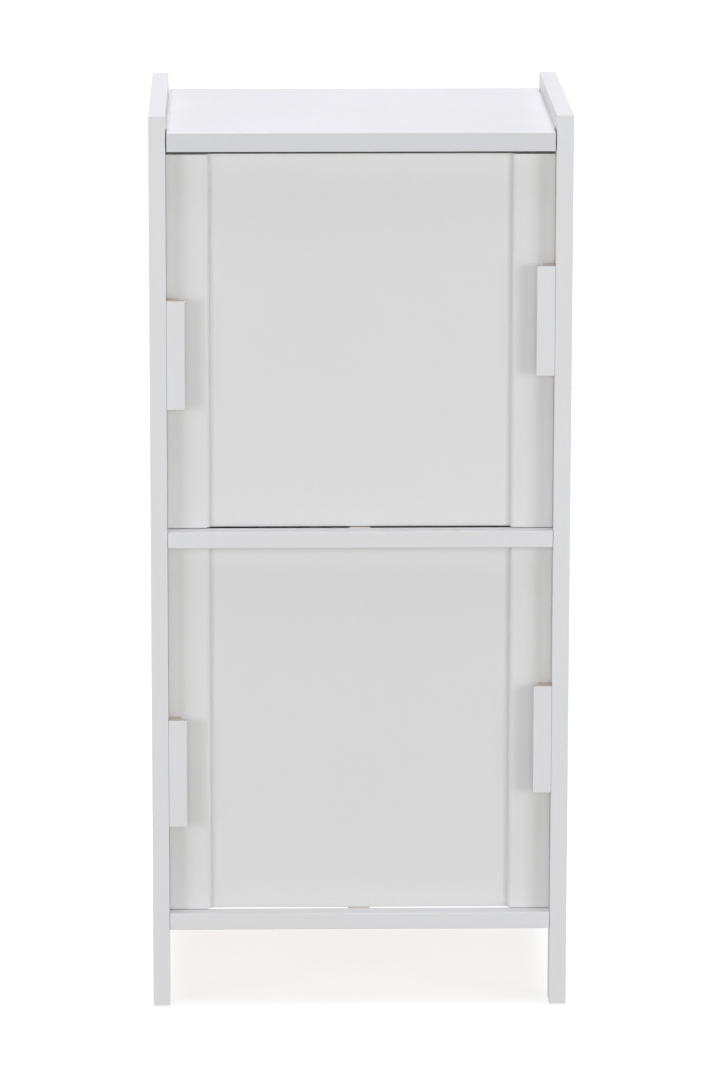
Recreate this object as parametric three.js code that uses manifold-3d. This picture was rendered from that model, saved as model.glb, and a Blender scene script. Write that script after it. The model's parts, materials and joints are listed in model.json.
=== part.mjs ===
// A narrow apothecary cabinet: an open-bottomed carcass on four legs, with two pull-out racks
// one above the other. Each rack hangs behind its own front, slides on wooden side runners and
// straddles a centre guide.
//
// Millimetres. The origin is on the floor under the middle of the cabinet, X points to the
// right, Y to the back and Z up.
import * as THREE from 'three';
import { mergeVertices } from 'three/addons/utils/BufferGeometryUtils.js';
import Module from 'manifold-3d';

const wasm = await Module();
wasm.setup();

// Carcass
const WIDTH = 400;
const DEPTH = 300;
const HEIGHT = 872;
const SIDE_THICKNESS = 16;
const LEG_DEPTH = 30;
const LEG_HEIGHT = 78;
const LEG_FILLET = 10;
const TOP_SURFACE = 856;
const TOP_THICKNESS = 18;
const TOP_TONGUE = 240;
const RAIL_HEIGHT = 16;
const RAIL_TOPS = { lower: 94, upper: 472.3 };
const FRONT_RAIL_DEPTH = 17.5;
const BACK_RAIL_DEPTH = 14;
const BACK_RAIL_RISE = 25;
const BACK_PANEL_THICKNESS = 4;
const TENON_LENGTH = 8;
const TENON_THICKNESS = 9;
const GLIDE_THICKNESS = 2;
const GLIDE_RADIUS = 5.5;
const GLIDE_CHAMFER = 0.5;
const GLIDE_PIN_RADIUS = 1.2;
const GLIDE_PIN_LENGTH = 10;

// Runners and guides, measured up from the top of the front rail
const RUNNER_WIDTH = 13.4;
const RUNNER_TOP = 8.7;
const GUIDE_WIDTH = 20;
const GUIDE_TOP = 8;
const GUIDE_STEP = 9;

// Fronts
const FRONT_RECESS = 15.5;
const FRONT_TOP = 361;
const FRONT_SIDE_GAP = 0.5;
const STILE_WIDTH = 40.2;
const STILE_THICKNESS = 16;
const STILE_FOOT = 0.6;
const GROOVE_DEPTH = 8;
const PANEL_SETBACK = 5;
const PANEL_THICKNESS = 6;
const PANEL_FOOT = 1.4;
const TAB_WIDTH = 17;
const TAB_LENGTH = 105.5;
const TAB_LIP = 5;
const TAB_REBATE = 5.5;
const TAB_FILLET = 3;
const TAB_FEET = {
  lower: { left: 87.5, right: 120.2 },
  upper: { left: 118.3, right: 150.8 },
};
const SCREW_INSET = 20;
const SCREW_HEAD_RADIUS = 3.5;
const SCREW_SHANK_RADIUS = 1.75;
const SCREW_LENGTH = 25;

// Racks, measured up from the top of the front rail
const RACK_HALF_WIDTH = 181;
const RACK_BOARD = 12;
const RACK_FLOOR = 9;
const RACK_SHELF = 185;
const RACK_BACK_GAP = 1;
const GALLERY_THICKNESS = 8;
const GALLERY_HEIGHT = 24;
const GALLERY_LIFT = 54;
const CLEAT_WIDTH = 12;
const CLEAT_CLEARANCE = 0.8;
const CLEAT_FOOT = 1.2;
const CLEAT_FRONT = -100;
const STOP_CENTRE = 75;
const STOP_WIDTH = 30;
const STOP_DEPTH = 15;
const STOP_DROP = 12;
const TRAVEL = 180;

const CLEARANCE = 1; // running clearance at the end of a stroke
const TOUCH = 0.3; // glue line between two pieces that lie against each other
const ARC_SEGMENTS = 6;
const ROUND_SEGMENTS = 16;

const INNER_X = WIDTH / 2 - SIDE_THICKNESS;
const FRONT_Y = -DEPTH / 2;
const BACK_Y = DEPTH / 2;
const RAIL_BACK = FRONT_Y + FRONT_RAIL_DEPTH;
const PANEL_BEHIND = BACK_Y - BACK_PANEL_THICKNESS;
const BACK_RAIL_FRONT = PANEL_BEHIND - TOUCH - BACK_RAIL_DEPTH;
const STILE_FRONT = FRONT_Y + FRONT_RECESS;
const STILE_BACK = STILE_FRONT + STILE_THICKNESS;
const STILE_OUTER = INNER_X - FRONT_SIDE_GAP;
const STILE_INNER = STILE_OUTER - STILE_WIDTH;
const PANEL_FRONT = STILE_FRONT + PANEL_SETBACK;
const PANEL_BACK = PANEL_FRONT + PANEL_THICKNESS;
const RACK_REAR = BACK_RAIL_FRONT - RACK_BACK_GAP;
const SCREW_X = STILE_OUTER - (TAB_WIDTH - TAB_REBATE) / 2;
const SIDES = { left: -1, right: 1 };

const lacquer = new THREE.MeshStandardMaterial({ color: 0xe8e8e7, roughness: 0.42, metalness: 0 });
const pine = new THREE.MeshStandardMaterial({ color: 0xd8b98c, roughness: 0.68, metalness: 0 });
const plywood = new THREE.MeshStandardMaterial({ color: 0xdcc7a2, roughness: 0.6, metalness: 0 });
const hardboard = new THREE.MeshStandardMaterial({ color: 0x8d6a48, roughness: 0.8, metalness: 0 });
const steel = new THREE.MeshStandardMaterial({ color: 0xc3c4c2, roughness: 0.35, metalness: 1 });
const nylon = new THREE.MeshStandardMaterial({ color: 0xe6e4dd, roughness: 0.5, metalness: 0 });

// Puts a geometry into a named mesh at a place in its group.
function place(name, material, geometry, x = 0, y = 0, z = 0) {
  const mesh = new THREE.Mesh(geometry, material);
  mesh.name = name;
  mesh.position.set(x, y, z);
  return mesh;
}

// A box that fills three spans.
function boxGeometry([x0, x1], [y0, y1], [z0, z1]) {
  const geometry = new THREE.BoxGeometry(x1 - x0, y1 - y0, z1 - z0);
  return geometry.translate((x0 + x1) / 2, (y0 + y1) / 2, (z0 + z1) / 2);
}

// A squared board or strip, as a mesh placed by its centre.
function board(name, material, [x0, x1], [y0, y1], [z0, z1]) {
  const geometry = new THREE.BoxGeometry(x1 - x0, y1 - y0, z1 - z0);
  return place(name, material, geometry, (x0 + x1) / 2, (y0 + y1) / 2, (z0 + z1) / 2);
}

// The span between two distances from the middle, on the left or the right.
function sideSpan(side, inner, outer) {
  return side < 0 ? [-outer, -inner] : [inner, outer];
}

// An outline drawn in X and Y, stood up to a height along Z.
function upright(shape, height) {
  return new THREE.ExtrudeGeometry(shape, {
    depth: height,
    bevelEnabled: false,
    curveSegments: ARC_SEGMENTS,
  });
}

// An outline drawn in Y and Z, given a thickness along X.
function sideways(shape, thickness) {
  const turn = new THREE.Matrix4().makeBasis(
    new THREE.Vector3(0, 1, 0),
    new THREE.Vector3(0, 0, 1),
    new THREE.Vector3(1, 0, 0),
  );
  return upright(shape, thickness).applyMatrix4(turn);
}

function polygon(points) {
  return new THREE.Shape(points.map(([x, y]) => new THREE.Vector2(x, y)));
}

function toSolid(geometry) {
  const bare = geometry.clone();
  bare.deleteAttribute('normal');
  bare.deleteAttribute('uv');
  const merged = mergeVertices(bare);
  const mesh = new wasm.Mesh({
    numProp: 3,
    vertProperties: merged.attributes.position.array,
    triVerts: Uint32Array.from(merged.index.array),
  });
  return new wasm.Manifold(mesh);
}

function toGeometry(solid) {
  const mesh = solid.getMesh();
  const geometry = new THREE.BufferGeometry();
  geometry.setAttribute('position', new THREE.BufferAttribute(mesh.vertProperties, 3));
  geometry.setIndex(new THREE.BufferAttribute(mesh.triVerts, 1));
  geometry.computeVertexNormals();
  return geometry;
}

// Cuts each tool out of a piece.
function carve(piece, tools) {
  let solid = toSolid(piece);
  for (const tool of tools) {
    solid = solid.subtract(toSolid(tool));
  }
  return toGeometry(solid);
}

// A turned piece from its half section, standing along Z.
function turned(halfSection) {
  const profile = halfSection.map(([radius, height]) => new THREE.Vector2(radius, height));
  return new THREE.LatheGeometry(profile, ROUND_SEGMENTS).rotateX(Math.PI / 2);
}

// ---------------------------------------------------------------- carcass

// The side board seen from the side, with the cut-out that leaves two legs.
function sideOutline() {
  const shape = new THREE.Shape();
  const legInside = BACK_Y - LEG_DEPTH;
  const arcHeight = LEG_HEIGHT - LEG_FILLET;
  const arcInside = legInside - LEG_FILLET;
  shape.moveTo(FRONT_Y, GLIDE_THICKNESS);
  shape.lineTo(-legInside, GLIDE_THICKNESS);
  shape.lineTo(-legInside, arcHeight);
  shape.absarc(-arcInside, arcHeight, LEG_FILLET, Math.PI, Math.PI / 2, true);
  shape.absarc(arcInside, arcHeight, LEG_FILLET, Math.PI / 2, 0, true);
  shape.lineTo(legInside, GLIDE_THICKNESS);
  shape.lineTo(BACK_Y, GLIDE_THICKNESS);
  shape.lineTo(BACK_Y, HEIGHT);
  shape.lineTo(FRONT_Y, HEIGHT);
  shape.closePath();
  return shape;
}

function centredSpan(centre, length) {
  return [centre - length / 2, centre + length / 2];
}

// Y spans of the tenons that the rails and the top board put into the side boards.
const FRONT_TENON = centredSpan(FRONT_Y + FRONT_RAIL_DEPTH / 2, TENON_THICKNESS);
const BACK_TENON = centredSpan(BACK_RAIL_FRONT + BACK_RAIL_DEPTH / 2, TENON_THICKNESS);
const TOP_TENON = centredSpan(0, TOP_TONGUE);

// A span with a glue line added at both ends.
function grown([low, high]) {
  return [low - TOUCH, high + TOUCH];
}

function sidePanel(name, side) {
  const mortiseX = sideSpan(side, INNER_X - TOUCH, INNER_X + TENON_LENGTH);
  const topUnderside = TOP_SURFACE - TOP_THICKNESS;
  const rebateY = [PANEL_BEHIND - TOUCH, BACK_Y + TOUCH];
  const tools = [
    boxGeometry(mortiseX, grown(TOP_TENON), grown([topUnderside, TOP_SURFACE])),
    boxGeometry(mortiseX, rebateY, [LEG_HEIGHT, topUnderside]),
  ];
  for (const railTop of Object.values(RAIL_TOPS)) {
    const underside = railTop - RAIL_HEIGHT;
    tools.push(boxGeometry(mortiseX, grown(FRONT_TENON), grown([underside, railTop])));
    tools.push(boxGeometry(mortiseX, grown(BACK_TENON), grown([underside, railTop + BACK_RAIL_RISE])));
  }
  for (const end of [-1, 1]) {
    const hole = turned([
      [0, 0],
      [GLIDE_PIN_RADIUS + TOUCH, 0],
      [GLIDE_PIN_RADIUS + TOUCH, GLIDE_THICKNESS + GLIDE_PIN_LENGTH + TOUCH],
      [0, GLIDE_THICKNESS + GLIDE_PIN_LENGTH + TOUCH],
    ]);
    const middleX = side * (INNER_X + SIDE_THICKNESS / 2);
    tools.push(hole.translate(middleX, end * (BACK_Y - LEG_DEPTH / 2), 0));
  }
  const blank = sideways(sideOutline(), SIDE_THICKNESS);
  blank.translate(sideSpan(side, INNER_X, INNER_X + SIDE_THICKNESS)[0], 0, 0);
  return place(name, lacquer, carve(blank, tools));
}

// A rail or board between the side boards, with a tenon at each end.
function tenoned(name, material, [y0, y1], [t0, t1], [z0, z1]) {
  const shoulder = INNER_X - TOUCH;
  const tip = INNER_X + TENON_LENGTH - TOUCH;
  const right = [[shoulder, y0], [shoulder, t0], [tip, t0], [tip, t1], [shoulder, t1], [shoulder, y1]];
  const left = right.map(([x, y]) => [-x, y]).reverse();
  return place(name, material, upright(polygon([...right, ...left]), z1 - z0), 0, 0, z0);
}

function glide(name, side, end) {
  const geometry = turned([
    [0, 0],
    [GLIDE_RADIUS - GLIDE_CHAMFER, 0],
    [GLIDE_RADIUS, GLIDE_CHAMFER],
    [GLIDE_RADIUS, GLIDE_THICKNESS - TOUCH],
    [GLIDE_PIN_RADIUS, GLIDE_THICKNESS - TOUCH],
    [GLIDE_PIN_RADIUS, GLIDE_THICKNESS + GLIDE_PIN_LENGTH - GLIDE_PIN_RADIUS],
    [0, GLIDE_THICKNESS + GLIDE_PIN_LENGTH],
  ]);
  const x = side * (INNER_X + SIDE_THICKNESS / 2);
  return place(name, nylon, geometry, x, end * (BACK_Y - LEG_DEPTH / 2), 0);
}

// The strip that the rack's cleats straddle, low at its front end under the front panel.
function centreGuide(name, railTop) {
  const front = RAIL_BACK + TOUCH;
  const outline = polygon([
    [front, -RAIL_HEIGHT],
    [BACK_RAIL_FRONT - TOUCH, -RAIL_HEIGHT],
    [BACK_RAIL_FRONT - TOUCH, GUIDE_TOP],
    [front + GUIDE_STEP, GUIDE_TOP],
    [front + GUIDE_STEP, 0],
    [front, 0],
  ]);
  return place(name, pine, sideways(outline, GUIDE_WIDTH), -GUIDE_WIDTH / 2, 0, railTop);
}

function sideRunner(name, side, railTop) {
  const outer = INNER_X - TOUCH;
  return board(
    name,
    pine,
    sideSpan(side, outer - RUNNER_WIDTH, outer),
    [STILE_BACK + CLEARANCE, BACK_RAIL_FRONT - TOUCH],
    [railTop - RAIL_HEIGHT, railTop + RUNNER_TOP],
  );
}

function carcass() {
  const group = new THREE.Group();
  const topSpan = [TOP_SURFACE - TOP_THICKNESS, TOP_SURFACE];
  group.add(tenoned('top_board', lacquer, [FRONT_Y, BACK_Y], TOP_TENON, topSpan));
  const backWidth = INNER_X + TENON_LENGTH - TOUCH;
  const backHeight = [LEG_HEIGHT + TOUCH, TOP_SURFACE - TOP_THICKNESS - TOUCH];
  group.add(board('back_panel', hardboard, [-backWidth, backWidth], [PANEL_BEHIND, BACK_Y], backHeight));
  for (const [word, side] of Object.entries(SIDES)) {
    group.add(sidePanel(`side_panel_${word}`, side));
    group.add(glide(`glide_front_${word}`, side, -1));
    group.add(glide(`glide_back_${word}`, side, 1));
  }
  for (const [level, railTop] of Object.entries(RAIL_TOPS)) {
    const frontY = [FRONT_Y, RAIL_BACK];
    const backY = [BACK_RAIL_FRONT, BACK_RAIL_FRONT + BACK_RAIL_DEPTH];
    const frontZ = [railTop - RAIL_HEIGHT, railTop];
    const backZ = [railTop - RAIL_HEIGHT, railTop + BACK_RAIL_RISE];
    group.add(tenoned(`${level}_front_rail`, lacquer, frontY, FRONT_TENON, frontZ));
    group.add(tenoned(`${level}_back_rail`, pine, backY, BACK_TENON, backZ));
    group.add(centreGuide(`${level}_centre_guide`, railTop));
    for (const [word, side] of Object.entries(SIDES)) {
      group.add(sideRunner(`${level}_side_runner_${word}`, side, railTop));
    }
  }
  return group;
}

// ---------------------------------------------------------------- pull-outs

// Wood screw with its head at Y = 0, driven towards the front; `slack` makes the hole for it.
function screwGeometry(slack) {
  const head = SCREW_HEAD_RADIUS + slack;
  const shank = SCREW_SHANK_RADIUS + slack;
  return turned([
    [0, -slack],
    [head, -slack],
    [head, 0.4],
    [shank, 0.4 + SCREW_HEAD_RADIUS - SCREW_SHANK_RADIUS],
    [shank, SCREW_LENGTH - SCREW_HEAD_RADIUS],
    [0, SCREW_LENGTH + slack],
  ]).rotateX(Math.PI / 2);
}

function screwHeights(tabFoot) {
  return { low: tabFoot + SCREW_INSET, high: tabFoot + TAB_LENGTH - SCREW_INSET };
}

// The holes for a tab's two screws, in a piece whose foot stands at `foot`.
function screwHoles(side, tabFoot, foot) {
  return Object.values(screwHeights(tabFoot)).map((height) =>
    screwGeometry(TOUCH).translate(side * SCREW_X, STILE_BACK - TOUCH, height - foot),
  );
}

function stile(name, side, tabFoot) {
  const grooveX = STILE_INNER + GROOVE_DEPTH;
  const outline = [
    [STILE_INNER, STILE_FRONT],
    [STILE_OUTER, STILE_FRONT],
    [STILE_OUTER, STILE_BACK],
    [STILE_INNER, STILE_BACK],
    [STILE_INNER, PANEL_BACK + TOUCH],
    [grooveX, PANEL_BACK + TOUCH],
    [grooveX, PANEL_FRONT - TOUCH],
    [STILE_INNER, PANEL_FRONT - TOUCH],
  ].map(([x, y]) => [side * x, y]);
  const blank = upright(polygon(outline), FRONT_TOP - STILE_FOOT);
  const geometry = carve(blank, screwHoles(side, tabFoot, STILE_FOOT));
  return place(name, lacquer, geometry, 0, 0, STILE_FOOT);
}

// A finger pull: a block on the stile, rebated behind a lip along its inner edge.
function pullTab(name, side, tabFoot) {
  const inner = STILE_OUTER - TAB_WIDTH;
  const wall = inner + TAB_REBATE;
  const back = STILE_FRONT - TOUCH;
  const lipBack = FRONT_Y + TAB_LIP;
  const shape = new THREE.Shape();
  shape.moveTo(inner, FRONT_Y);
  shape.lineTo(STILE_OUTER, FRONT_Y);
  shape.lineTo(STILE_OUTER, back);
  shape.lineTo(wall, back);
  shape.absarc(wall - TAB_FILLET, lipBack + TAB_FILLET, TAB_FILLET, 0, -Math.PI / 2, true);
  shape.lineTo(inner, lipBack);
  const corners = shape.extractPoints(ARC_SEGMENTS).shape.map(({ x, y }) => [side * x, y]);
  const blank = upright(polygon(corners), TAB_LENGTH);
  return place(name, lacquer, carve(blank, screwHoles(side, tabFoot, tabFoot)), 0, 0, tabFoot);
}

// A shelf of the rack, reaching forward between the stiles to the back of the front panel.
function rackBoard(name, rear, foot) {
  const shoulder = STILE_BACK + TOUCH;
  const tongue = STILE_INNER - TOUCH;
  const nose = PANEL_BACK + TOUCH;
  const right = [[tongue, nose], [tongue, shoulder], [RACK_HALF_WIDTH, shoulder], [RACK_HALF_WIDTH, rear]];
  const left = right.map(([x, y]) => [-x, y]).reverse();
  return place(name, plywood, upright(polygon([...right, ...left]), RACK_BOARD), 0, 0, foot);
}

function galleryRail(name, side, shelfFoot) {
  const foot = shelfFoot + RACK_BOARD + GALLERY_LIFT;
  return board(
    name,
    plywood,
    sideSpan(side, RACK_HALF_WIDTH - GALLERY_THICKNESS, RACK_HALF_WIDTH),
    [STILE_BACK + TOUCH, RACK_REAR - RACK_BOARD - TOUCH],
    [foot, foot + GALLERY_HEIGHT],
  );
}

function guideCleat(name, side) {
  const inner = GUIDE_WIDTH / 2 + CLEAT_CLEARANCE;
  return board(
    name,
    pine,
    sideSpan(side, inner, inner + CLEAT_WIDTH),
    [CLEAT_FRONT, RACK_REAR],
    [CLEAT_FOOT, RACK_FLOOR - TOUCH],
  );
}

// The block that meets the front rail when the rack is fully out.
function stopBlock(name, side) {
  const front = RAIL_BACK + TRAVEL + CLEARANCE;
  return board(
    name,
    pine,
    sideSpan(side, STOP_CENTRE - STOP_WIDTH / 2, STOP_CENTRE + STOP_WIDTH / 2),
    [front, front + STOP_DEPTH],
    [-STOP_DROP, RACK_FLOOR - TOUCH],
  );
}

function pullOut(level) {
  const group = new THREE.Group();
  const panelHalf = STILE_INNER + GROOVE_DEPTH - TOUCH;
  const backFront = RACK_REAR - RACK_BOARD;
  const fullWidth = [-RACK_HALF_WIDTH, RACK_HALF_WIDTH];
  const backHeight = [RACK_FLOOR + RACK_BOARD + TOUCH, FRONT_TOP];
  const panelWidth = [-panelHalf, panelHalf];
  const panelHeight = [PANEL_FOOT, FRONT_TOP];
  group.add(
    board(`${level}_front_panel`, lacquer, panelWidth, [PANEL_FRONT, PANEL_BACK], panelHeight),
    rackBoard(`${level}_rack_floor`, RACK_REAR, RACK_FLOOR),
    rackBoard(`${level}_rack_shelf`, backFront - TOUCH, RACK_SHELF),
    board(`${level}_rack_back`, plywood, fullWidth, [backFront, RACK_REAR], backHeight),
  );
  for (const [word, side] of Object.entries(SIDES)) {
    const tabFoot = TAB_FEET[level][word];
    group.add(
      stile(`${level}_stile_${word}`, side, tabFoot),
      pullTab(`${level}_pull_tab_${word}`, side, tabFoot),
      galleryRail(`${level}_floor_gallery_${word}`, side, RACK_FLOOR),
      galleryRail(`${level}_shelf_gallery_${word}`, side, RACK_SHELF),
      guideCleat(`${level}_guide_cleat_${word}`, side),
      stopBlock(`${level}_stop_block_${word}`, side),
    );
    for (const [end, height] of Object.entries(screwHeights(tabFoot))) {
      const name = `${level}_tab_screw_${word}_${end}`;
      group.add(place(name, steel, screwGeometry(0), side * SCREW_X, STILE_BACK - TOUCH, height));
    }
  }
  group.position.z = RAIL_TOPS[level];
  return group;
}

const cabinet = new THREE.Group();
cabinet.add(carcass());
for (const level of Object.keys(RAIL_TOPS)) {
  cabinet.add(pullOut(level));
}

export default cabinet;
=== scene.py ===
"""The looks of the apothecary cabinet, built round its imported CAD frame. Metres, +Z up."""

import json
import math

import bmesh
import bpy
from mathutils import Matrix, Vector


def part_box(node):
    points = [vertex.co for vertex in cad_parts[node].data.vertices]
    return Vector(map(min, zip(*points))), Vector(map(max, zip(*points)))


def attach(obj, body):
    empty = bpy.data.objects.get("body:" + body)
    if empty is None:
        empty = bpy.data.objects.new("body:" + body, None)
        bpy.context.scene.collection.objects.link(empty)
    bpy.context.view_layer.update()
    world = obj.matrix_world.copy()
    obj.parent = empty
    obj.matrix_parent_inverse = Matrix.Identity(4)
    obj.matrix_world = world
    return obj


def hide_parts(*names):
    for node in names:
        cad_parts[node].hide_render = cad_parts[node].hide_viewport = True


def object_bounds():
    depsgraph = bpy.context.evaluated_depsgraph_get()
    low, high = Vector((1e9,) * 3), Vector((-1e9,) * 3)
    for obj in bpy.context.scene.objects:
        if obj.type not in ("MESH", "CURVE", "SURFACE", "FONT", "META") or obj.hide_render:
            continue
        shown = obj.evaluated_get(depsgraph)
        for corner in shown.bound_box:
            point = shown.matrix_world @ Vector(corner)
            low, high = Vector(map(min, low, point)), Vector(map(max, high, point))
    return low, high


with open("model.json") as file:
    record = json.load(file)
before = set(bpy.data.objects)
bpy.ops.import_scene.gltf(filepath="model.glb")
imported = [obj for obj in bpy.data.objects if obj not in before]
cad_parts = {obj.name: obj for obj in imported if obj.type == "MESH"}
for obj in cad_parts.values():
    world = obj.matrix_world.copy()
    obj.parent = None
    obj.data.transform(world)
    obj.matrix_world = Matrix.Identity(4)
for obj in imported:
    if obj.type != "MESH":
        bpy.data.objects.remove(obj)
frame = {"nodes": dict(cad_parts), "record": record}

MM = 0.001
CAD_LOW, CAD_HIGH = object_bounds()
NODE_BODY = {n: b for b, nodes in frame["record"]["behaviour"]["bodies"].items() for n in nodes}
LEVELS = ("upper", "lower")
SIDES = ("left", "right")
NEAR = 0.1 * MM  # a point this close to a face lies on it

# ---------------------------------------------------------------- materials

LACQUER = (0.705, 0.705, 0.705, 1)
LACQUER_WARM = (0.70, 0.697, 0.69, 1)
LACQUER_CREAM = (0.705, 0.701, 0.688, 1)
LACQUER_WORN = (0.70, 0.66, 0.60, 1)
# painted shade: a darker lacquer for the top board's front face, standing in for the light it lacks
LACQUER_PAINTED_SHADE = (0.635, 0.637, 0.635, 1)
END_LIGHT = (0.55, 0.50, 0.44, 1)
END_DARK = (0.47, 0.42, 0.35, 1)
PINE_EARLY = (0.72, 0.53, 0.31, 1)
PINE_LATE = (0.50, 0.29, 0.12, 1)
PINE_STREAK_DARK = (0.55, 0.37, 0.19, 1)
PINE_STREAK_LIGHT = (0.80, 0.62, 0.40, 1)
# pale tones for the centre guides; the upper one is lighter than the lower as painted light, lifting
# the guide that sits in shade under the upper front
GUIDE_TONES_AND_PAINTED_LIGHT = {"upper": (0.85, 0.79, 0.68, 1), "lower": (0.60, 0.555, 0.475, 1)}
BIRCH_LIGHT = (0.74, 0.60, 0.42, 1)
BIRCH_DARK = (0.62, 0.46, 0.28, 1)
BIRCH_STREAK_DARK = (0.60, 0.45, 0.28, 1)
BIRCH_STREAK_LIGHT = (0.80, 0.67, 0.49, 1)
PLY_LIGHT = (0.70, 0.54, 0.34, 1)
PLY_DARK = (0.38, 0.23, 0.11, 1)
HARDBOARD_LIGHT = (0.30, 0.175, 0.085, 1)
HARDBOARD_DARK = (0.17, 0.090, 0.040, 1)
HARDBOARD_FIBRE = (0.42, 0.27, 0.14, 1)
SCREEN_PITCH = 1.4 * MM
ZINC_LIGHT = (0.62, 0.62, 0.60, 1)
ZINC_DARK = (0.44, 0.44, 0.43, 1)
NYLON = (0.78, 0.76, 0.71, 1)
NYLON_DULL = (0.66, 0.64, 0.59, 1)


class Surface:
    """A Principled material, with its texture nodes added one call at a time."""

    def __init__(self, name, **constants):
        self.material = bpy.data.materials.new(name)
        self.material.use_nodes = True
        self.tree = self.material.node_tree
        self.shader = self.tree.nodes["Principled BSDF"]
        for socket, value in constants.items():
            self.shader.inputs[socket.replace("_", " ")].default_value = value
        self.place = self.add("ShaderNodeTexCoord").outputs["Object"]

    def add(self, kind, **settings):
        node = self.tree.nodes.new(kind)
        for key, value in settings.items():
            setattr(node, key, value)
        return node

    def link(self, source, target):
        self.tree.links.new(source, target)

    def mapped(self, scale, shift=(0, 0, 0)):
        """The place in the piece, scaled along each axis and then shifted."""
        mapping = self.add("ShaderNodeMapping")
        mapping.inputs["Scale"].default_value = scale
        mapping.inputs["Location"].default_value = shift
        self.link(self.place, mapping.inputs["Vector"])
        return mapping.outputs["Vector"]

    def noise(self, size, stretch=(1, 1, 1), detail=3.0, seed=0.0, roughness=0.5):
        """Noise whose features are about size long, times stretch along each axis."""
        scale = [1 / (size * s) for s in stretch]
        texture = self.add("ShaderNodeTexNoise")
        texture.inputs["Scale"].default_value = 1.0
        texture.inputs["Detail"].default_value = detail
        texture.inputs["Roughness"].default_value = roughness
        self.link(self.mapped(scale, (seed, seed * 1.7, seed * 2.3)), texture.inputs["Vector"])
        return texture.outputs["Fac"]

    def math(self, operation, a, b=0.0):
        node = self.add("ShaderNodeMath", operation=operation)
        for socket, value in zip(node.inputs, (a, b)):
            if isinstance(value, (int, float)):
                socket.default_value = value
            else:
                self.link(value, socket)
        return node.outputs["Value"]

    def ramp(self, factor, *stops):
        """A value or colour that runs through (position, colour or number) stops."""
        ramp = self.add("ShaderNodeValToRGB")
        elements = ramp.color_ramp.elements
        while len(elements) < len(stops):
            elements.new(1.0)
        for element, (position, value) in zip(elements, stops):
            element.position = position
            element.color = value if isinstance(value, tuple) else (value, value, value, 1)
        self.link(factor, ramp.inputs["Fac"])
        return ramp.outputs["Color"]

    def mix(self, factor, a, b):
        node = self.add("ShaderNodeMix", data_type="RGBA")
        for socket, value in ((node.inputs[0], factor), (node.inputs[6], a), (node.inputs[7], b)):
            if isinstance(value, bpy.types.NodeSocket):
                self.link(value, socket)
            else:
                socket.default_value = value
        return node.outputs[2]

    def attribute(self, name):
        return self.add("ShaderNodeAttribute", attribute_name=name).outputs["Fac"]

    def finish(self, color, roughness, *bumps):
        """Connects the colour, the roughness and a chain of (height, depth in metres) bumps."""
        self.link(color, self.shader.inputs["Base Color"])
        self.link(roughness, self.shader.inputs["Roughness"])
        normal = None
        for height, depth in bumps:
            bump = self.add("ShaderNodeBump")
            bump.inputs["Distance"].default_value = depth
            self.link(height, bump.inputs["Height"])
            if normal is not None:
                self.link(normal, bump.inputs["Normal"])
            normal = bump.outputs["Normal"]
        self.link(normal, self.shader.inputs["Normal"])
        return self.material


def lacquer(seed, base):
    """Satin white lacquer: faint stipple, slow waves, rubbed edges, thinly coated bare ends, and
    painted shade on the top board's front face.
    """
    s = Surface("white_lacquer", Coat_Weight=0.12, Coat_Roughness=0.25, IOR=1.47)
    cloud = s.ramp(s.noise(0.22, seed=seed), (0.35, 0.0), (0.65, 1.0))
    color = s.mix(cloud, base, LACQUER_WARM)
    rubbed = s.ramp(s.noise(0.018, seed=seed + 5, detail=5.0), (0.50, 0.0), (0.66, 0.8))
    worn = s.math("MULTIPLY", rubbed, s.attribute("eased"))
    color = s.mix(worn, color, LACQUER_WORN)
    # painted shade: darkens the top board's front face where the lamps give it less light
    color = s.mix(s.attribute("painted_front_shade"), color, LACQUER_PAINTED_SHADE)
    pores = s.noise(0.8 * MM, (1, 5, 1), detail=4.0, seed=seed)
    end = s.ramp(pores, (0.3, END_DARK), (0.7, END_LIGHT))
    color = s.mix(s.attribute("bare_end"), color, end)
    gloss = s.ramp(s.noise(0.05, seed=seed + 9, detail=5.0), (0.3, 0.40), (0.7, 0.52))
    stipple = s.noise(1.6 * MM, seed=seed, detail=2.0)
    waves = s.noise(0.09, seed=seed + 3, detail=1.0)
    return s.finish(color, gloss, (waves, 0.25 * MM), (stipple, 0.03 * MM))


def wood_grain(s, along, ring, seed, wander):
    """Growth rings cut lengthwise, from 0 at the start of a year to 1 at its end."""
    stretch = [1.0, 1.0, 1.0]
    stretch[along] = 0.035
    heart = [
        0.31 * math.sin(seed * 3.1),
        0.11 + 0.05 * math.sin(seed),
        0.16 * math.cos(seed * 1.7),
    ]
    heart[along] = 0.0
    length = s.add("ShaderNodeVectorMath", operation="LENGTH")
    s.link(s.mapped(stretch, heart), length.inputs[0])
    long_noise = [1.0, 1.0, 1.0]
    long_noise[along] = 9.0
    drift = s.math("MULTIPLY", s.noise(0.03, long_noise, seed=seed), wander)
    years = s.math("ADD", s.math("DIVIDE", length.outputs["Value"], ring), drift)
    return s.math("FRACT", years)


def fibres(s, along, size, seed, length=40.0):
    """Fine streaks that are length times as long as they are wide."""
    stretch = [1.0, 1.0, 1.0]
    stretch[along] = length
    return s.noise(size, stretch, detail=4.0, seed=seed, roughness=0.6)


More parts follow.
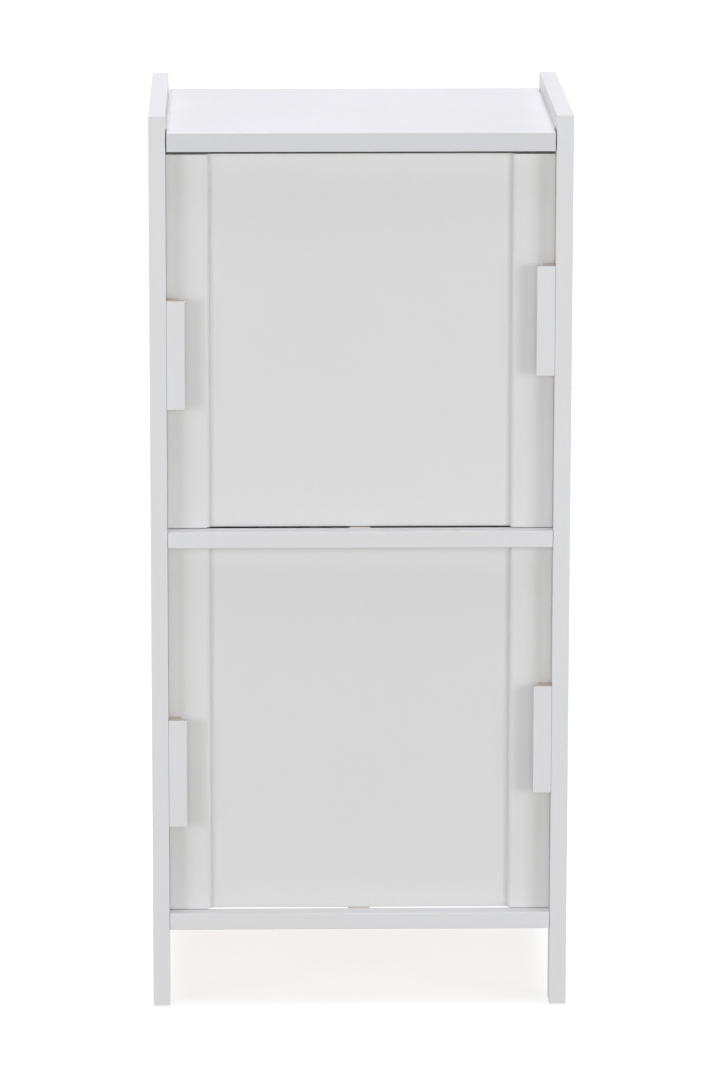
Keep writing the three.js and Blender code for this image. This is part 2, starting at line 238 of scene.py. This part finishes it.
def pine(along, seed, tone_and_painted_light=None):
    """Planed bare pine with its rings running along one axis, mixed mostly into a pale tone when one
    is given; the upper guide's lighter tone is painted light.
    """
    s = Surface("bare_pine", IOR=1.45)
    rings = wood_grain(s, along, 3.2 * MM, seed, 2.2)
    tone = s.ramp(rings, (0.0, PINE_EARLY), (0.62, PINE_EARLY), (0.93, PINE_LATE), (1.0, PINE_EARLY))
    streak = fibres(s, along, 0.7 * MM, seed)
    shade = s.ramp(streak, (0.3, PINE_STREAK_DARK), (0.7, PINE_STREAK_LIGHT))
    color = s.mix(0.38, tone, shade)
    # mixes the whole strip mostly into its given tone; for the upper guide that tone carries painted
    # light against the shade in its slit
    if tone_and_painted_light is not None:
        color = s.mix(0.8, color, tone_and_painted_light)
    rough = s.ramp(streak, (0.3, 0.58), (0.7, 0.72))
    return s.finish(color, rough, (rings, 0.05 * MM), (streak, 0.08 * MM))


def plywood(along, across, low, ply, seed):
    """Birch plywood: a calm rotary-cut face, and its plies in layers on the cut edges."""
    s = Surface("birch_plywood", Coat_Weight=0.10, Coat_Roughness=0.35, IOR=1.46)
    figure = wood_grain(s, along, 11 * MM, seed, 3.0)
    veneer = s.ramp(
        figure, (0.0, BIRCH_LIGHT), (0.7, BIRCH_LIGHT), (0.95, BIRCH_DARK), (1.0, BIRCH_LIGHT)
    )
    streak = fibres(s, along, 0.5 * MM, seed, 25.0)
    shade = s.ramp(streak, (0.3, BIRCH_STREAK_DARK), (0.7, BIRCH_STREAK_LIGHT))
    face = s.mix(0.45, veneer, shade)
    split = s.add("ShaderNodeSeparateXYZ")
    s.link(s.place, split.inputs[0])
    height = s.math("DIVIDE", s.math("SUBTRACT", split.outputs[across], low), 2 * ply)
    layer = s.math("FRACT", height)
    bands = s.ramp(layer, (0.0, PLY_LIGHT), (0.46, PLY_LIGHT), (0.53, PLY_DARK), (0.96, PLY_DARK))
    grit = s.ramp(s.noise(0.6 * MM, seed=seed), (0.3, 0.25), (0.7, 0.75))
    edge = s.mix(grit, bands, s.mix(0.5, bands, PLY_LIGHT))
    color = s.mix(s.attribute("cut_edge"), face, edge)
    rough = s.ramp(streak, (0.3, 0.46), (0.7, 0.60))
    return s.finish(color, rough, (streak, 0.04 * MM))


def hardboard():
    """Pressed fibre board: mottled brown, smooth inside, with a screen print on the outside."""
    s = Surface("brown_hardboard", IOR=1.45)
    blotches = s.noise(7 * MM, detail=8.0, roughness=0.65)
    mottle = s.ramp(blotches, (0.3, HARDBOARD_DARK), (0.7, HARDBOARD_LIGHT))
    fibre = s.ramp(s.noise(0.9 * MM, (3, 1, 1), detail=4.0), (0.35, 0.0), (0.75, 1.0))
    color = s.mix(s.math("MULTIPLY", fibre, 0.35), mottle, HARDBOARD_FIBRE)
    split = s.add("ShaderNodeSeparateXYZ")
    s.link(s.mapped([1 / SCREEN_PITCH] * 3), split.inputs[0])
    turns = [s.math("MULTIPLY", split.outputs[i], math.pi) for i in (0, 2)]
    columns, rows = [s.math("ABSOLUTE", s.math("SINE", turn)) for turn in turns]
    screen = s.math("MULTIPLY", s.math("MULTIPLY", columns, rows), s.attribute("rough_side"))
    rough = s.ramp(s.noise(0.02, detail=4.0), (0.3, 0.62), (0.7, 0.80))
    return s.finish(color, rough, (screen, 0.25 * MM), (fibre, 0.05 * MM))


def zinc():
    """Bright zinc plating with the cloudy tone of its passivation."""
    s = Surface("zinc_steel", Metallic=1.0)
    cloud = s.noise(1.6 * MM, detail=4.0)
    color = s.ramp(cloud, (0.3, ZINC_DARK), (0.7, ZINC_LIGHT))
    rough = s.ramp(s.noise(0.5 * MM, detail=3.0), (0.3, 0.26), (0.7, 0.42))
    return s.finish(color, rough, (cloud, 0.02 * MM))


def nylon():
    """Moulded nylon, scuffed where it has been slid."""
    s = Surface("nylon", Subsurface_Weight=0.08, Subsurface_Scale=1 * MM, IOR=1.53)
    scuff = s.noise(1.1 * MM, (1, 4, 1), detail=5.0)
    color = s.ramp(scuff, (0.42, NYLON), (0.75, NYLON_DULL))
    rough = s.ramp(scuff, (0.3, 0.42), (0.7, 0.66))
    return s.finish(color, rough, (scuff, 0.03 * MM))


# ---------------------------------------------------------------- mesh work

FLAT = math.radians(0.5)
CORNER = math.radians(28)
CREASE = math.radians(38)


def face_attribute(bm, name):
    return bm.faces.layers.float.get(name) or bm.faces.layers.float.new(name)


def plain_copy(node):
    """A bmesh of a CAD node, with each flat side made one face."""
    bm = bmesh.new()
    bm.from_mesh(frame["nodes"][node].data)
    bmesh.ops.remove_doubles(bm, verts=bm.verts, dist=0.01 * MM)
    bmesh.ops.dissolve_limit(
        bm, angle_limit=FLAT, verts=bm.verts, edges=bm.edges, use_dissolve_boundaries=False
    )
    bmesh.ops.recalc_face_normals(bm, faces=bm.faces)
    return bm


def ease(bm, radius, segments, keep=None, wear=1.0):
    """Rounds the sharp outside edges. keep(middle) picks them by their midpoint, and wear marks
    the new faces for the rubbed look."""
    sharp = [
        e for e in bm.edges
        if len(e.link_faces) == 2
        and e.calc_face_angle(0.0) > CORNER
        and e.is_convex
        and (keep is None or keep((e.verts[0].co + e.verts[1].co) / 2))
    ]
    eased = face_attribute(bm, "eased")
    made = bmesh.ops.bevel(
        bm,
        geom=sharp,
        offset=radius,
        segments=segments,
        profile=0.5,
        affect="EDGES",
        clamp_overlap=True,
    )
    for face in made["faces"]:
        face[eased] = wear


def eased_copy(node, radius):
    bm = plain_copy(node)
    ease(bm, radius, 2)
    return bm


def to_piece(bm, name, node, material):
    """Makes a shaded piece of a bmesh that stands for a CAD node and rides with it."""
    for face in bm.faces:
        face.smooth = True
    for edge in bm.edges:
        if len(edge.link_faces) == 2 and edge.calc_face_angle(0.0) > CREASE:
            edge.smooth = False
    mesh = bpy.data.meshes.new(name)
    bm.to_mesh(mesh)
    bm.free()
    piece = bpy.data.objects.new(name, mesh)
    bpy.context.scene.collection.objects.link(piece)
    weighted = piece.modifiers.new("flat faces", "WEIGHTED_NORMAL")
    weighted.keep_sharp = True
    mesh.materials.append(material)
    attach(piece, NODE_BODY[node])
    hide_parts(node)


def inner_face(node):
    """The x of the side that a left or right piece turns to the middle of the cabinet."""
    low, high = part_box(node)
    return low.x if high.x > 0 else high.x


def outer_face(node):
    """The x of the side that a left or right piece turns away from the middle."""
    low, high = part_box(node)
    return high.x if high.x > 0 else low.x


def lacquered(bm, node, seed, base=LACQUER):
    to_piece(bm, f"{node}_lacquered", node, lacquer(seed, base))


def pine_strip(node, radius, seed, tone_and_painted_light=None):
    low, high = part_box(node)
    size = high - low
    longest = max(range(3), key=lambda i: size[i])
    to_piece(eased_copy(node, radius), f"{node}_planed", node, pine(longest, seed, tone_and_painted_light))


def ply_board(node, along, seed, radius=0.5 * MM):
    """A plywood board whose cut edges are marked, so that its plies show there."""
    low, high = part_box(node)
    size = high - low
    across = min(range(3), key=lambda i: size[i])
    layers = 9 if size[across] > 10 * MM else 5
    bm = eased_copy(node, radius)
    cut = face_attribute(bm, "cut_edge")
    for face in bm.faces:
        face[cut] = 0.0 if abs(face.normal[across]) > 0.8 else 1.0
    material = plywood(along, across, low[across], size[across] / layers, seed)
    to_piece(bm, f"{node}_ply", node, material)


# ---------------------------------------------------------------- carcass

EDGE = 0.9 * MM  # edges that a hand reaches
CRISP = 0.06 * MM  # edges that close against another piece
SIDE_EDGE = 0.7 * MM
BESIDE_FRONTS = 0.15 * MM
ROUNDED = 4.5 * MM
FILM = 0.26 * MM
PANEL_DROPS = {"upper": 0.4 * MM, "lower": 1.05 * MM}
JOINT_LINE = 0.8 * MM
GLIDE_HOLE_DEPTH = 14 * MM
GLIDE_HOLE_REACH = 3 * MM
GLIDE_HOLE_INSET = 8 * MM  # from the cabinet's side
GLIDE_HOLE_ALONG = 135 * MM  # from the cabinet's middle


def outside_of_joints(node):
    """Picks a side board's own outline, and leaves sharp the edges of its mortises, of its rebate
    and of the holes for the glides' pins."""
    low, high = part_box(node)
    rail_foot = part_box("lower_front_rail")[0].z

    def keep(middle):
        across, along = abs(middle.x), abs(middle.y)
        on_top = middle.z > high.z - NEAR
        on_front = middle.y < low.y + NEAR
        on_back = middle.y > high.y - NEAR and abs(across - CAD_HIGH.x) < NEAR
        below = middle.z < rail_foot + NEAR
        beside = abs(across - CAD_HIGH.x + GLIDE_HOLE_INSET) < GLIDE_HOLE_REACH
        by_hole = beside and abs(along - GLIDE_HOLE_ALONG) < GLIDE_HOLE_REACH
        in_hole = by_hole and middle.z < low.z + GLIDE_HOLE_DEPTH
        return (on_top or on_front or on_back or below) and not in_hole

    return keep


def carcass():
    for i, side in enumerate(SIDES):
        side_board(f"side_panel_{side}", 2.0 + 7 * i)
    top_board()
    for i, level in enumerate(LEVELS):
        front_rail(f"{level}_front_rail", 23.0 + i)
        pine_strip(f"{level}_back_rail", 0.8 * MM, 4.0 + i)
        pine_strip(f"{level}_centre_guide", 0.6 * MM, 11.0 + i, GUIDE_TONES_AND_PAINTED_LIGHT[level])
        for j, side in enumerate(SIDES):
            pine_strip(f"{level}_side_runner_{side}", 0.6 * MM, 31.0 + 2 * i + j)
    back_panel()
    glides()


def side_board(node, seed):
    """A side board: crisp along the edge that the fronts close against, eased elsewhere."""
    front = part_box(node)[0].y
    inner = inner_face(node)
    outside = outside_of_joints(node)
    bm = plain_copy(node)
    ease(bm, BESIDE_FRONTS, 2, lambda at: at.y < front + NEAR and abs(at.x - inner) < NEAR)
    ease(bm, SIDE_EDGE, 3, lambda at: outside(at) and abs(at.x - inner) > 0.5 * MM)
    lacquered(bm, node, seed)


def front_rail(node, seed):
    """A front rail: eased along its front and crisp along its back."""
    low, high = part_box(node)
    bm = plain_copy(node)
    ease(bm, EDGE, 3, lambda at: at.y < low.y + NEAR)
    ease(bm, CRISP, 2, lambda at: at.y > high.y - NEAR)
    lacquered(bm, node, seed)


def front_panel(node, seed, drop):
    """A front panel with crisp edges, whose foot reaches lower than the CAD solid's by drop."""
    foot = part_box(node)[0].z
    bm = plain_copy(node)
    for vert in bm.verts:
        if vert.co.z < foot + NEAR:
            vert.co.z -= drop
    ease(bm, CRISP, 2)
    lacquered(bm, node, seed, LACQUER_CREAM)


def top_board():
    """The top board, with a hairline joint at both side boards and its front face painted darker as
    shade.
    """
    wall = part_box("side_panel_right")[0].x
    bm = plain_copy("top_board")
    for vert in bm.verts:
        if abs(abs(vert.co.x) - wall) < 0.5 * MM:
            vert.co.x -= math.copysign(JOINT_LINE, vert.co.x)
    ease(bm, 0.5 * MM, 3)
    # marks the front face for the painted shade
    painted_front_shade = face_attribute(bm, "painted_front_shade")
    for face in bm.faces:
        face[painted_front_shade] = 1.0 if face.normal.y < -0.9 else 0.0
    lacquered(bm, "top_board", 19.0)


def back_panel():
    """The hardboard back, with its screened side to the wall."""
    bm = eased_copy("back_panel", 0.3 * MM)
    rough = face_attribute(bm, "rough_side")
    for face in bm.faces:
        face[rough] = 1.0 if face.normal.y > 0.9 else 0.0
    to_piece(bm, "back_panel_fibre", "back_panel", hardboard())


def glides():
    material = nylon()
    for end in ("front", "back"):
        for side in SIDES:
            node = f"glide_{end}_{side}"
            to_piece(eased_copy(node, 0.25 * MM), f"{node}_moulded", node, material)


# ---------------------------------------------------------------- pull-outs

SCREW_SIDES = 40
HEAD_RINGS = 14
HEAD_RIM = 0.4 * MM
RECESS_DEPTH = 1.5 * MM
RECESS_ARM = 0.62  # of the head's radius
RECESS_HALF_WIDTH = 0.17  # of the head's radius
RECESS_RISE = 0.6  # the share of its depth that the recess loses towards the arms' ends
CAD_SHANK = 1.75 * MM
SHANK = 1.7 * MM
THREAD_CORE = 1.25 * MM
THREAD_PITCH = 1.8 * MM
THREAD_HEIGHT = 0.45 * MM
THREAD_STEEPNESS = 5
THREAD_STEPS = 96
PLAIN_SHANK = 1.5 * MM
THREAD_RUN_OUT = 0.5 * MM
POINT_LENGTH = 4 * MM


def recess_depth(radius, turn, head):
    """How deep the cross recess is at a place on the head, deepest at the middle."""
    x, z = abs(radius * math.cos(turn)), abs(radius * math.sin(turn))
    near, far = min(x, z), max(x, z)
    arm = RECESS_ARM * head
    if near >= RECESS_HALF_WIDTH * head or far >= arm:
        return 0.0
    return RECESS_DEPTH * (1 - RECESS_RISE * far / arm)


def thread_rise(depth, turn):
    """How far the thread stands out of the core, once in each pitch."""
    phase = (depth / THREAD_PITCH - turn / (2 * math.pi)) % 1.0
    return THREAD_HEIGHT * max(0.0, 1 - abs(phase - 0.5) * THREAD_STEEPNESS)


def screw_rings(head, length):
    """Each ring of the screw from the middle of its head to its tip: radius, depth and kind."""
    rings = [(head * k / HEAD_RINGS, 0.0, "face") for k in range(1, HEAD_RINGS + 1)]
    rings.append((head, HEAD_RIM, "plain"))
    cone = HEAD_RIM + head - CAD_SHANK
    rings.append((SHANK, cone, "plain"))
    rings.append((SHANK, cone + PLAIN_SHANK, "plain"))
    start = cone + PLAIN_SHANK + THREAD_RUN_OUT
    for k in range(THREAD_STEPS + 1):
        depth = start + (length - start) * k / THREAD_STEPS
        taper = min(1.0, (length - depth) / POINT_LENGTH)
        rings.append((THREAD_CORE * taper, depth, "thread"))
    return rings


def screw(node, material):
    """A countersunk wood screw with a cross recess, a cone and a thread. It points to the front."""
    low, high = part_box(node)
    centre = Vector(((low.x + high.x) / 2, high.y, (low.z + high.z) / 2))
    head = (high.x - low.x) / 2
    length = high.y - low.y
    bm = bmesh.new()
    rings = []
    for radius, depth, kind in screw_rings(head, length):
        ring = []
        for k in range(SCREW_SIDES):
            turn = 2 * math.pi * k / SCREW_SIDES
            r, d = radius, depth
            if kind == "face":
                d = recess_depth(radius, turn, head)
            if kind == "thread":
                r = radius + thread_rise(depth, turn) * min(1.0, radius / THREAD_CORE)
            place = Vector((r * math.cos(turn), -d, r * math.sin(turn)))
            ring.append(bm.verts.new(centre + place))
        rings.append(ring)
    middle = bm.verts.new(centre + Vector((0, -RECESS_DEPTH, 0)))
    tip = bm.verts.new(centre + Vector((0, -length, 0)))
    for k in range(SCREW_SIDES):
        nxt = (k + 1) % SCREW_SIDES
        bm.faces.new((middle, rings[0][nxt], rings[0][k]))
        bm.faces.new((tip, rings[-1][k], rings[-1][nxt]))
        for a, b in zip(rings, rings[1:]):
            bm.faces.new((a[k], a[nxt], b[nxt], b[k]))
    bmesh.ops.remove_doubles(bm, verts=bm.verts, dist=0.001 * MM)
    bmesh.ops.recalc_face_normals(bm, faces=bm.faces)
    to_piece(bm, f"{node}_threaded", node, material)


def filled_out(node):
    """A copy of a stile or tab whose outer side carries its film of lacquer."""
    outer = outer_face(node)
    bm = plain_copy(node)
    for vert in bm.verts:
        if abs(vert.co.x - outer) < NEAR:
            vert.co.x += math.copysign(FILM, outer)
    return bm


def stile(node, seed):
    """A stile: rounded over where it steps down to the panel, and crisp beside the side board."""
    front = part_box(node)[0].y
    inner = inner_face(node)
    bm = filled_out(node)
    ease(bm, ROUNDED, 6, lambda at: abs(at.x - inner) < NEAR and at.y < front + NEAR, wear=0.0)
    ease(bm, CRISP, 2)
    lacquered(bm, node, seed, LACQUER_CREAM)


def pull_tab(node, seed):
    """A tab: eased on the hand's side, crisp beside the side board, and thinly coated on its ends."""
    outer = outer_face(node)
    bm = filled_out(node)
    ease(bm, EDGE, 3, lambda at: abs(at.x - outer) > MM)
    ease(bm, CRISP, 2, lambda at: abs(at.x - outer) < MM)
    bare = face_attribute(bm, "bare_end")
    for face in bm.faces:
        face[bare] = 1.0 if abs(face.normal.z) > 0.6 else 0.0
    lacquered(bm, node, seed)


def pull_out(level, seed):
    """A front with its tabs, and the rack behind it."""
    front_panel(f"{level}_front_panel", seed, PANEL_DROPS[level])
    ply_board(f"{level}_rack_floor", 0, seed + 1)
    ply_board(f"{level}_rack_shelf", 0, seed + 2)
    ply_board(f"{level}_rack_back", 2, seed + 3)
    steel = zinc()
    for i, side in enumerate(SIDES):
        stile(f"{level}_stile_{side}", seed + 4 + i)
        pull_tab(f"{level}_pull_tab_{side}", seed + 6 + i)
        pine_strip(f"{level}_guide_cleat_{side}", 0.5 * MM, seed + 8 + i)
        pine_strip(f"{level}_stop_block_{side}", 0.8 * MM, seed + 10 + i)
        for shelf in ("floor", "shelf"):
            ply_board(f"{level}_{shelf}_gallery_{side}", 1, seed + 12 + i, radius=1.2 * MM)
        for end in ("low", "high"):
            screw(f"{level}_tab_screw_{side}_{end}", steel)


# ---------------------------------------------------------------- stage, light and camera

FLOOR_SIZE = 120.0
FLOOR_GLOW = 0.78
FLOOR_DARK = (0.27, 0.27, 0.27, 1)
FLOOR_LIGHT = (0.30, 0.30, 0.30, 1)
WHITE = (1, 1, 1)
STRIP_TURN = math.radians(52)
STRIP_AWAY = 4.0
STRIP_HEIGHT = 0.95
STRIP_SIZE = (1.4, 2.0)
STRIP_POWERS = {-1: 46, 1: 53}
FRONT_FILL = 0.60
BACK_FILL = 1.12
STRIP_TINT = (0.97, 0.995, 1.07)
FILL_TINT = (1.01, 1.0, 0.965)
COOL_TINT = (0.985, 0.975, 1.045)
UNDER, RIM, SHELL, CROWN = 0.40, 1.0, 0.15, 5.5
TENT = (  # how far up a direction points, from -1 to 1, its brightness and its tint
    (-0.06, UNDER, FILL_TINT),
    (-0.02, RIM, WHITE),
    (0.13, RIM, WHITE),
    (0.22, SHELL, FILL_TINT),
    (0.90, SHELL, COOL_TINT),
    (0.95, CROWN, COOL_TINT),
)
EYE = (-0.1191, -5.15, 1.60)
EYE_PITCH = math.radians(11.883)
EYE_YAW = math.radians(0.892)
LENS = 178.98
SENSOR = 36.0
SHIFT = (0.04, -0.08)


def floor():
    """A wide pale floor that glows a little and bounces no diffuse light onto the cabinet."""
    bm = bmesh.new()
    bmesh.ops.create_grid(bm, x_segments=8, y_segments=8, size=FLOOR_SIZE / 2)
    mesh = bpy.data.meshes.new("floor")
    bm.to_mesh(mesh)
    bm.free()
    stage = bpy.data.objects.new("floor", mesh)
    bpy.context.scene.collection.objects.link(stage)
    s = Surface("studio_floor", Emission_Color=(*WHITE, 1), Emission_Strength=FLOOR_GLOW)
    tone = s.ramp(s.noise(0.4), (0.3, FLOOR_DARK), (0.7, FLOOR_LIGHT))
    rough = s.ramp(s.noise(0.1), (0.3, 0.8), (0.7, 0.9))
    mesh.materials.append(s.finish(tone, rough, (s.noise(0.01), 0.01 * MM)))
    stage.visible_diffuse = False


def lamp(name, light, tint, place, aim):
    """Puts a light at a place, shining towards a point."""
    light.color = tint
    holder = bpy.data.objects.new(name, light)
    holder.location = place
    holder.rotation_euler = (Vector(aim) - Vector(place)).to_track_quat("-Z", "Y").to_euler()
    bpy.context.scene.collection.objects.link(holder)


def strip(name, side):
    """A tall softbox to one side of the front, which makes the shadow beside each tab."""
    light = bpy.data.lights.new(name, "AREA")
    light.shape = "RECTANGLE"
    light.size, light.size_y = STRIP_SIZE
    light.energy = STRIP_POWERS[side]
    across = side * STRIP_AWAY * math.sin(STRIP_TURN)
    forward = CAD_LOW.y - STRIP_AWAY * math.cos(STRIP_TURN)
    lamp(name, light, STRIP_TINT, (across, forward, STRIP_HEIGHT), (0, CAD_LOW.y, STRIP_HEIGHT))


def wash(name, tint, away, softness, strength):
    """Light from far off that comes from the direction away, softened over a wide angle."""
    light = bpy.data.lights.new(name, "SUN")
    light.angle = softness
    light.energy = strength
    lamp(name, light, tint, away, (0, 0, 0))


def tent():
    """World light like a white tent: a bright crown, a dim shell, and a bright low band all round."""
    world = bpy.data.worlds.new("studio")
    world.use_nodes = True
    nodes, links = world.node_tree.nodes, world.node_tree.links
    background = nodes["Background"]
    background.inputs["Strength"].default_value = CROWN
    direction = nodes.new("ShaderNodeTexCoord").outputs["Generated"]
    split = nodes.new("ShaderNodeSeparateXYZ")
    rise = nodes.new("ShaderNodeMapRange")
    rise.inputs["From Min"].default_value = -1.0
    ramp = nodes.new("ShaderNodeValToRGB")
    elements = ramp.color_ramp.elements
    while len(elements) < len(TENT):
        elements.new(1.0)
    for element, (height, level, tint) in zip(elements, TENT):
        element.position = (height + 1) / 2
        element.color = (*(level / CROWN * part for part in tint), 1)
    links.new(direction, split.inputs[0])
    links.new(split.outputs["Z"], rise.inputs["Value"])
    links.new(rise.outputs["Result"], ramp.inputs["Fac"])
    links.new(ramp.outputs["Color"], background.inputs["Color"])
    bpy.context.scene.world = world


def studio_light():
    tent()
    strip("strip_left", -1)
    strip("strip_right", 1)
    wash("front_fill", FILL_TINT, (0, -8, 1.4), math.radians(35), FRONT_FILL)
    wash("back_fill", COOL_TINT, (0, 2.4, 6), math.radians(40), BACK_FILL)


def camera():
    """A long lens that looks down at the front."""
    data = bpy.data.cameras.new("camera")
    data.sensor_width = SENSOR
    data.lens = LENS
    data.shift_x, data.shift_y = SHIFT
    data.dof.use_dof = False
    data.clip_end = 100
    eye = bpy.data.objects.new("camera", data)
    eye.location = EYE
    eye.rotation_euler = (math.pi / 2 - EYE_PITCH, 0, -EYE_YAW)
    bpy.context.scene.collection.objects.link(eye)
    bpy.context.scene.camera = eye


carcass()
for index, level_name in enumerate(LEVELS):
    pull_out(level_name, 40.0 + 20 * index)
floor()
studio_light()
camera()
bpy.context.scene.view_settings.view_transform = "Standard"
